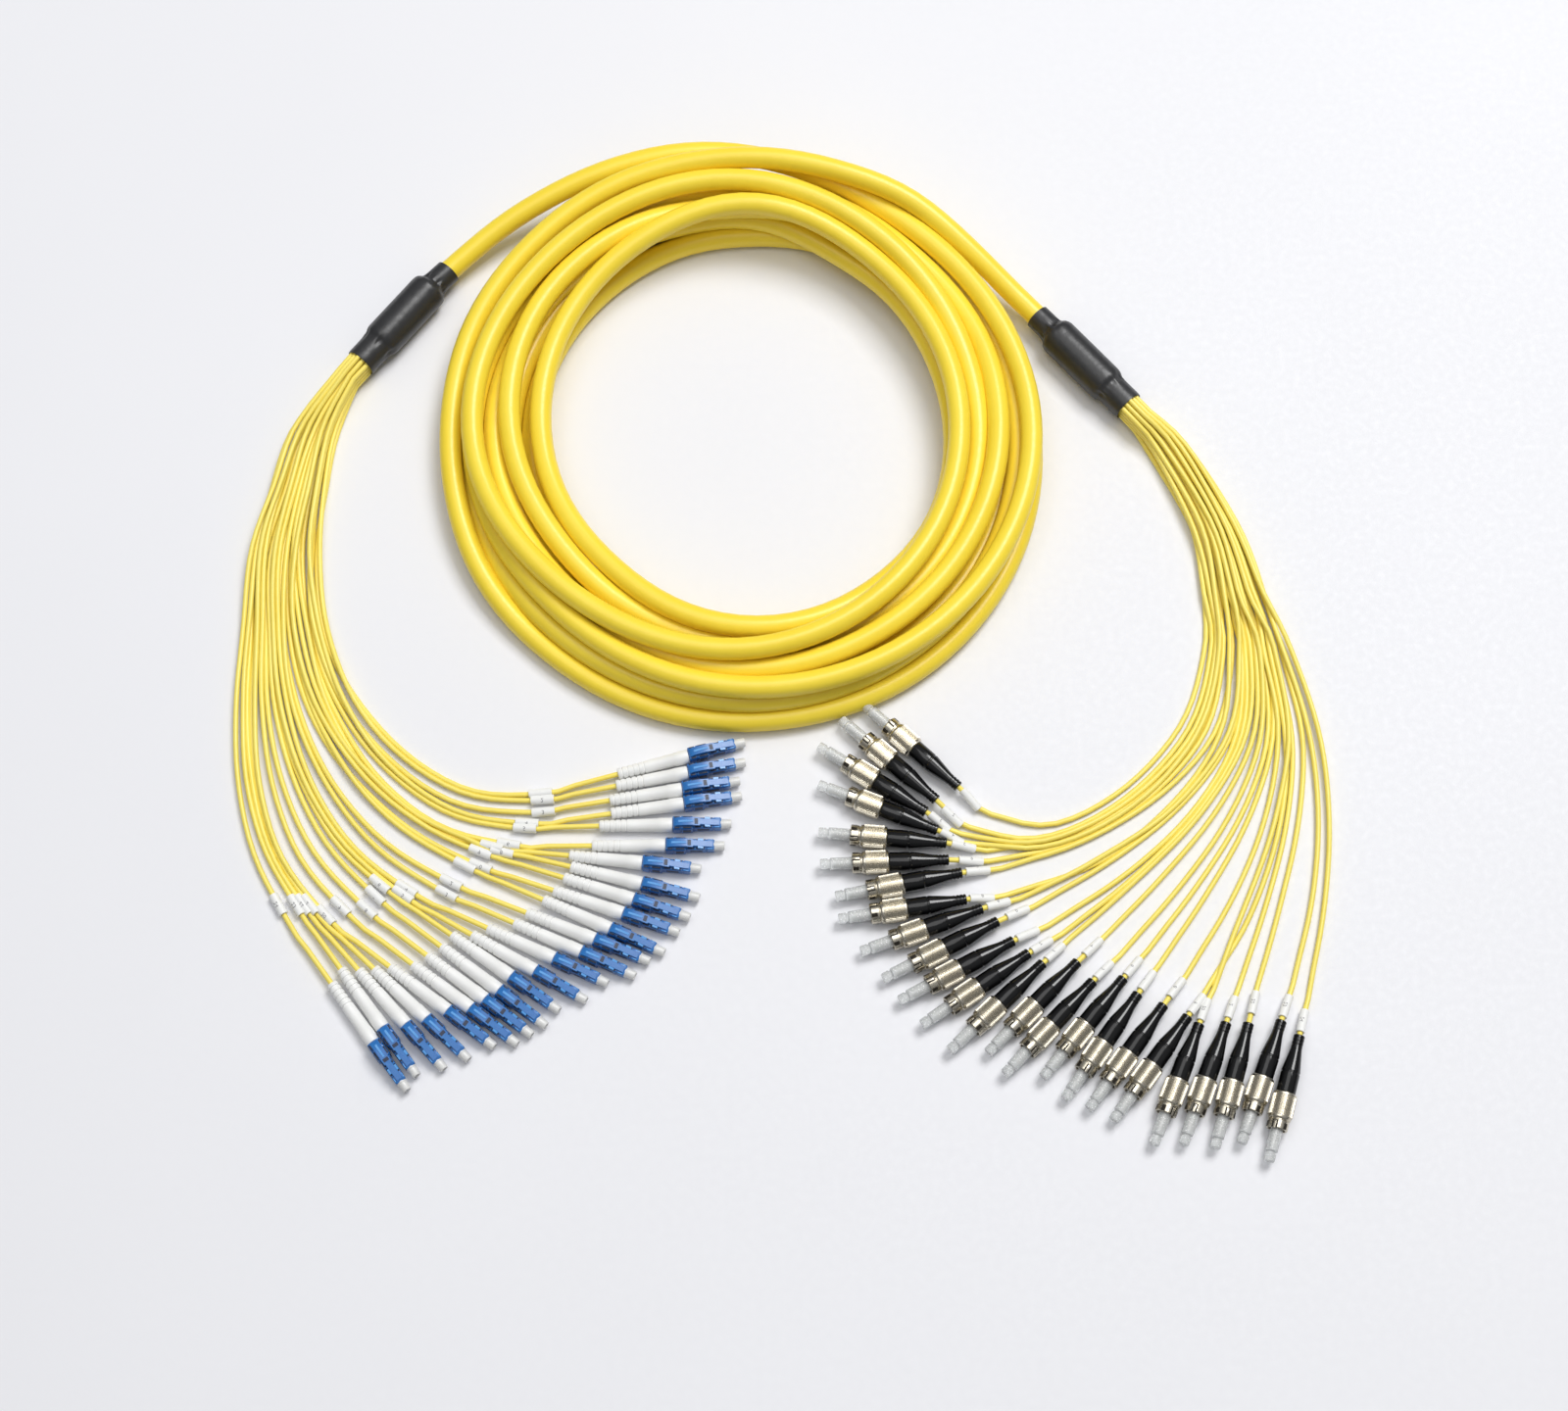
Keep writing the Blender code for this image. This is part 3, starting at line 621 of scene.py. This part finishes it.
# Boot: a soft white rubbery plastic, moulded, with a dull shine.
white_rubber = moulded("white thermoplastic rubber", "#f3f3f1", "#e9e9e6", 0.42, 9, 0.5, 0.015,
                       IOR=1.5)
# Housing: moulded polybutylene in a clear mid blue, with the slight gloss of a polished tool.
blue_plastic = moulded("blue PBT plastic", "#2f7cc4", "#1c5da6", 0.30, 5, 0.4, 0.01, IOR=1.55)
# Painted shade: the same plastic in a deep navy, for thin plates on the plug and clip where their
# windows and slots would lie in shadow
blue_painted_shade = moulded("blue PBT painted shade", "#0b2448", "#071a38", 0.45, 4, 0.4, 0.01, IOR=1.55)
# Painted highlight: the same plastic in a pale blue, for the latch's shoulders, the ridge along the
# lever and the nose's top corners, where light falls on them
blue_painted_highlight = moulded("blue PBT painted highlight", "#5aa3e2", "#3f8bd2", 0.24, 4, 0.4, 0.01, IOR=1.55)
# Dust cap: milky soft polyethylene, which lets some light through.
milky_cap = moulded("milky polyethylene", "#f6f6f4", "#efefec", 0.30, 5, 0.4, 0.01, IOR=1.51,
                    Transmission_Weight=0.25)


def lc_boot_mesh():
    bm = bmesh.new()
    profile = [(0, 1.7), (0.15, 2.2), (0.5, 2.4)]
    profile += ringed(LC_BOOT, 2.4, 2.85, 1.6, 2.3, 5, 0.7, 0.36)
    profile += [(14, 2.62), (24, 2.78), (24.3, 2.95), (29.5, 2.95), (30, 2.8)]
    turned(bm, profile, 24)
    return shell("lc_boot", bm, [white_rubber])


def lc_housing_mesh():
    bm = bmesh.new()
    w, h = LC_WIDTH, LC_HEIGHT
    # Clip: a box with a seam round it
    skin(bm, [boxed(x, w - 2 * d, h - 2 * d, 0.9 - d * 0.5) for x, d in (
        (LC_BOOT + 0.15, 0.45), (LC_BOOT + 0.4, 0.05), (33.2, 0.0), (33.3, 0.3), (33.65, 0.3),
        (33.75, 0.0), (38.1, 0.05), (LC_CLIP_END, 0.45))])
    # Plug: square, with a stepped nose
    skin(bm, [boxed(x, 4.6 - 2 * d, 4.6 - 2 * d, 0.45) for x, d in (
        (38.3, 0.15), (38.6, 0.0), (46.6, 0.0), (46.7, 0.2), (47.0, 0.2), (47.1, 0.0),
        (49.6, 0.05), (LC_NOSE, 0.3))])
    # Windows and slots in its sides and top, laid on as thin plates a hair proud of it: the dark
    # plates are painted shade where the windows and slots would lie in shadow, and the pale plates
    # along the nose's top corners are painted highlight
    for side in (-1, 1):
        for slot, near, far, x1, x2, z1, z2 in (
            (1, 2.2, 2.37, 40.2, 45.2, -1.2, 0.9), (1, 1.36, 2.1, 39.2, 41.8, 2.2, 2.38),
            (1, 1.36, 2.1, 42.6, 46.2, 2.2, 2.38), (1, 1.9, 2.6, 30.9, 33.0, 3.1, 3.38),
            (1, 1.9, 2.6, 34.4, 37.9, 3.1, 3.38), (2, 1.7, 2.1, 47.4, 49.3, 2.1, 2.4),
            (1, 2.7, 2.97, 34.4, 37.6, -1.6, 1.4),
        ):
            slab(bm, (x1, min(side * near, side * far), z1), (x2, max(side * near, side * far), z2),
                 slot)
    # Latch: a springy strip from the nose, with a shoulder each side, under the clip's lever. The
    # shoulders and the ridge along the lever are in the pale blue of painted highlight, and the
    # dark block near the lever's front end is painted shade
    for half_w, slot, points in (
        (1.3, 0, ((49.2, 1.9, 2.75), (46.0, 2.5, 3.3), (42.5, 3.3, 4.05), (39.6, 3.95, 4.7))),
        (2.1, 2, ((45.6, 2.45, 3.25), (43.4, 3.0, 3.8))),
        (1.75, 0, ((30.7, 2.9, 3.75), (32.4, 4.0, 4.8), (36.4, 4.15, 4.98), (38.6, 4.0, 4.9),
                   (41.4, 3.5, 4.3))),
        (0.5, 2, ((32.6, 4.5, 4.98), (36.4, 4.9, 5.16), (38.6, 4.7, 5.08))),
        (1.2, 1, ((39.2, 4.2, 4.88), (40.6, 4.0, 4.6))),
    ):
        skin(bm, [[(x, -half_w, low), (x, half_w, low), (x, half_w, high - 0.12),
                   (x, half_w - 0.15, high), (x, 0.15 - half_w, high), (x, -half_w, high - 0.12)]
                  for x, low, high in points], slot)
    return shell("lc_housing", bm, [blue_plastic, blue_painted_shade, blue_painted_highlight])


def lc_cap_mesh():
    bm = bmesh.new()
    turned(bm, ((49.6, 1.9), (49.7, 2.15), (50.5, 2.15), (50.65, 1.95), (53.8, 1.9),
                (LC_END, 1.7), (LC_END, 1.3), (51, 1.25)), 24)
    return shell("lc_cap", bm, [milky_cap])


lc_meshes = (("boot", lc_boot_mesh(), "white_boot"), ("housing", lc_housing_mesh(), "blue_housing"),
             ("cap", lc_cap_mesh(), "clear_cap"))
lc_row = [(at + LAYOUT, degrees) for at, degrees in row_of(LC_FIRST, LC_NEXT, LC_WIDTH, 1)]
lc_tails = [(at - heading(degrees) * LC_MIDDLE + Vector((0, 0, LC_AXIS_Z)), heading(degrees))
            for at, degrees in lc_row]
lc_legs = leg_routes("lc", lc_tails, LC_FAN, LC_PARTING, LC_APPROACH, 31)


def on_leg(points, back, half, radius):
    """The place on a leg that lies so many mm before its end, with X along the leg, for a
    sleeve of that half length and radius, which doesn't reach below the floor."""
    run = np.concatenate([[0], np.cumsum(np.linalg.norm(np.diff(points, axis=0), axis=1))])
    near, at, far = (Vector([np.interp(run[-1] - (back + d) * MM, run, points[:, k])
                             for k in range(3)]) for d in (4, 0, -4))  # mm either side
    along = (far - near).normalized()
    at.z = max(at.z, (radius + half * abs(along.z) + MARKER_OFF_FLOOR) * MM)
    return Matrix.Translation(at) @ along.to_track_quat("X", "Z").to_matrix().to_4x4()


def finish_leg(side, k, meshes, place, points, sleeve, back):
    """Puts the kth connector, its marker sleeve so many mm behind the boot, and their leg."""
    made = [put(f"{side}_{part}_{k:02d}", mesh, place, slot, f"{side}_connector_{k:02d}")
            for part, mesh, slot in meshes]
    length, radius, digits = sleeve
    mark = marker(f"{side}_marker_{k:02d}", length, radius, k, digits)
    spot = on_leg(points, back + LEG_INTO_BOOT, length / 2, radius)
    made.append(put(f"{side}_marker_{k:02d}", mark, spot, "marker_sleeve"))
    leg = cord_piece(f"{side}_leg_{k:02d}", points, LEG_D, 3, leg_jacket)
    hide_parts(f"{side}_legs")


for k, ((tail, _), (_, degrees), points) in enumerate(zip(lc_tails, lc_row, lc_legs), 1):
    back = np.interp(k, (1, len(lc_row)), LC_MARKERS_AT) + LC_SCATTER[k % len(LC_SCATTER)]
    finish_leg("lc", k, lc_meshes, placed(tail, degrees), points, LC_MARKER, back)

# Screw connectors, on the right. A glossy black boot, a knurled coupling nut and a keyed body
# of nickel-plated brass, and a clear cap over the ferrule. Laid out like the others.
FC_FIRST = (50.0, -17.0, 137.0)
FC_NEXT = (
    (1.2, 2.8, 1), (1.6, -0.6, 9), (0.0, -8.5, 11), (2.7, -6.7, 17), (0.9, -1.6, 7),
    (0.5, -5.4, 9), (0.5, 0.6, -2), (0.7, -6.2, 11), (1.0, -4.2, 7), (0.7, -1.7, 1),
    (0.7, -3.1, 6), (1.4, -2.7, 9), (0.4, -10.6, 2), (0.5, 1.5, 1), (0.3, -9.5, 4),
    (0.6, 1.3, 4), (0.5, -2.3, -1), (0.5, -1.9, 0), (2.8, -1.1, 14), (0.5, -4.6, 1),
    (0.6, -3.2, 4), (0.8, -5.1, -3), (0.8, 3.1, 4),
)
FC_MIDDLE = 30 * MM
FC_AXIS_Z = 4.9 * MM
FC_APPROACH = 12 * MM
FC_WIDTH = 9.8
# Along it from the boot's tail, in mm
FC_BOOT = 24.5
FC_NUT_END = 35.5
FC_RING_END = 39.5
FC_CAP_END = 48.5
FC_END = 52.5
KNURLS = 44
KEY_TURNS = (-34, 12, -9, 38, 24)  # how the bodies lie turned in their nuts, in degrees
# Their markers, as on the left
FC_MARKER = (10.4, 1.8, 2.3)
FC_MARKER_AT = 6.0
FC_SCATTER = (0, 0.6, 2.8, 0.2)


def fc_boot_mesh():
    bm = bmesh.new()
    profile = [(0, 1.5), (0.12, 2.05), (0.4, 2.25)]
    profile += ringed(6, 2.28, 2.28, 1.0, 1.5, 3, 0.5, 0.28)
    profile += [(5.8, 2.3), (6.6, 2.42), (14.6, 3.72), (15.3, 3.82), (15.6, 3.62), (16.0, 3.62),
                (16.3, 3.86), (24.1, 3.9), (FC_BOOT, 3.7)]
    turned(bm, profile, 28)
    return shell("fc_boot", bm, [black_rubber])


def fc_nut_mesh():
    bm = bmesh.new()
    rings = []
    for x, crest, valley in ((24.5, 4.15, 4.15), (24.9, 4.62, 4.62), (25.6, 4.62, 4.62),
                             (25.8, 4.9, 4.62), (34.0, 4.9, 4.62), (34.2, 4.62, 4.62),
                             (34.9, 4.62, 4.62), (35.2, 4.45, 4.45), (FC_NUT_END, 4.2, 4.2)):
        ring = []
        for k in range(4 * KNURLS):
            a = 2 * pi * k / (4 * KNURLS)
            r = crest if k % 4 in (0, 1) else valley
            ring.append((x, r * sin(a), r * cos(a)))
        rings.append(ring)
    skin(bm, rings)
    return shell("fc_nut", bm, [nickel], 30)


def fc_body_mesh(key_turn):
    bm = bmesh.new()
    turned(bm, ((35.3, 3.2), (35.3, 3.9), (35.8, 3.9), (36.1, 4.2), (39.2, 4.2),
                (FC_RING_END, 4.0), (FC_RING_END, 3.4), (37.5, 3.3), (37.5, 2.6), (39.0, 2.6)), 40)
    # Painted shade: a dark plate round the key, as if the keyway lay in shadow
    slab(bm, (36.3, -1.1, 3.6), (FC_RING_END + 0.02, 1.1, 4.24), 1, 0.08)
    slab(bm, (36.6, -0.5, 3.9), (FC_RING_END + 0.3, 0.5, 4.45), 0, 0.08)
    # Painted dark reflections: three dark plates round the polished ring
    for turn in (-62, 58, 118):
        before = set(bm.verts)
        slab(bm, (36.9, -0.8, 3.6), (39.3, 0.8, 4.26), 1, 0.08)
        bmesh.ops.rotate(bm, verts=[v for v in bm.verts if v not in before], cent=(0, 0, 0),
                         matrix=Matrix.Rotation(radians(turn), 3, "X"))
    bmesh.ops.rotate(bm, verts=bm.verts, cent=(0, 0, 0),
                     matrix=Matrix.Rotation(radians(key_turn), 3, "X"))
    return shell("fc_body", bm, [nickel, brass_painted_darks])


def fc_cap_mesh():
    bm = bmesh.new()
    turned(bm, ((47.5, 0.05), (47.5, 1.9), (39.3, 1.9), (39.3, 2.35), (39.4, 2.5), (48.2, 2.45),
                (FC_CAP_END, 2.2), (48.7, 1.75), (49.3, 1.75), (49.5, 2.15), (52.1, 2.15),
                (FC_END, 1.9)), 28)
    turned(bm, ((39.0, 1.25), (45.5, 1.25), (46.0, 0.9)), 16, 1)
    return shell("fc_cap", bm, [clear_cap, zirconia])


# Boot: black rubbery plastic from a polished mould, so a long bright line runs down it.
black_rubber = moulded("black thermoplastic rubber", "#0e0e0f", "#080809", 0.15, 9, 0.8, 0.01,
                       IOR=1.5)
# Nut and body: nickel plating over turned brass, warm grey and softly bright.
nickel = moulded("nickel-plated brass", "#dcd5c4", "#c2baa8", 0.26, 4, 0.5, 0.008, Metallic=1.0)
# Painted shade and painted dark reflections: a dark brass for the plates round the key and on the
# ring
brass_painted_darks = moulded("brass painted shade and dark reflections", "#3a352d", "#2a2620", 0.5, 3, 0.5, 0.005, Metallic=0.6)
# Cap: clear soft polyethylene, a little cloudy; the ferrule under it is white ceramic.
clear_cap = moulded("clear polyethylene", "#fcfdfc", "#f6f8f7", 0.24, 5, 0.5, 0.006, IOR=1.45,
                    Transmission_Weight=0.62)
zirconia = moulded("zirconia ceramic", "#f2efe8", "#e9e6de", 0.2, 3, 0.4, 0.002, IOR=1.8)

fc_meshes = (("boot", fc_boot_mesh(), "black_boot"), ("nut", fc_nut_mesh(), "nickel"),
             ("cap", fc_cap_mesh(), "clear_cap"))
fc_bodies = [fc_body_mesh(key_turn) for key_turn in KEY_TURNS]
fc_row = [(at + LAYOUT, degrees) for at, degrees in row_of(FC_FIRST, FC_NEXT, FC_WIDTH, -1)]
fc_tails = [(at - heading(degrees) * FC_MIDDLE + Vector((0, 0, FC_AXIS_Z)), heading(degrees))
            for at, degrees in fc_row]
fc_legs = leg_routes("fc", fc_tails, FC_FAN, FC_PARTING, FC_APPROACH, 47)
for k, ((tail, _), (_, degrees), points) in enumerate(zip(fc_tails, fc_row, fc_legs), 1):
    body = ("body", fc_bodies[k % len(fc_bodies)], "nickel")
    back = FC_MARKER_AT + FC_SCATTER[k % len(FC_SCATTER)]
    finish_leg("fc", k, (*fc_meshes, body), placed(tail, degrees), points, FC_MARKER, back)

# Floor, light and air. A plain pale table top under a big soft light from the upper right,
# with the room's own pale light from all round.
FLOOR_REACH = 4  # metres each way
FLOOR_GAP = 0.1 * MM
# Each light's name, place and size in metres, and power in watts
LIGHTS = (("window", (1.05, 1.2, 2.85), 1.4, 71.0), ("ceiling", (-0.3, 0.1, 2.2), 1.6, 13.5))
bpy.context.scene.view_settings.view_transform = "Standard"
bm = bmesh.new()
bmesh.ops.create_grid(bm, x_segments=2, y_segments=2, size=FLOOR_REACH)
floor_finish = moulded("pale table laminate", "#ececef", "#e8e8eb", 0.6, 180, 3, 0.01)
floor = bpy.data.objects.new("floor", shell("floor", bm, [floor_finish]))
bpy.context.scene.collection.objects.link(floor)
floor.location.z = -FLOOR_GAP
for name, at, size, power in LIGHTS:
    lamp = bpy.data.lights.new(name, "AREA")
    lamp.shape = "SQUARE"
    lamp.size = size
    lamp.energy = power
    light = bpy.data.objects.new(name, lamp)
    bpy.context.scene.collection.objects.link(light)
    light.location = at
    light.rotation_euler = (-Vector(at)).to_track_quat("-Z", "Y").to_euler()
room = bpy.data.worlds.new("room")
room.use_nodes = True
sky = node(room, "ShaderNodeSeparateXYZ", {
    "Vector": node(room, "ShaderNodeTexCoord").outputs["Generated"]}).outputs["Z"]
walls = node(room, "ShaderNodeMapRange", {
    "Value": sky, "From Min": 0.0, "From Max": 0.7, "To Min": 0.05, "To Max": 0.35})
background = room.node_tree.nodes["Background"]
background.inputs["Color"].default_value = colour("#f4f6fa")
room.node_tree.links.new(walls.outputs[0], background.inputs["Strength"])
bpy.context.scene.world = room
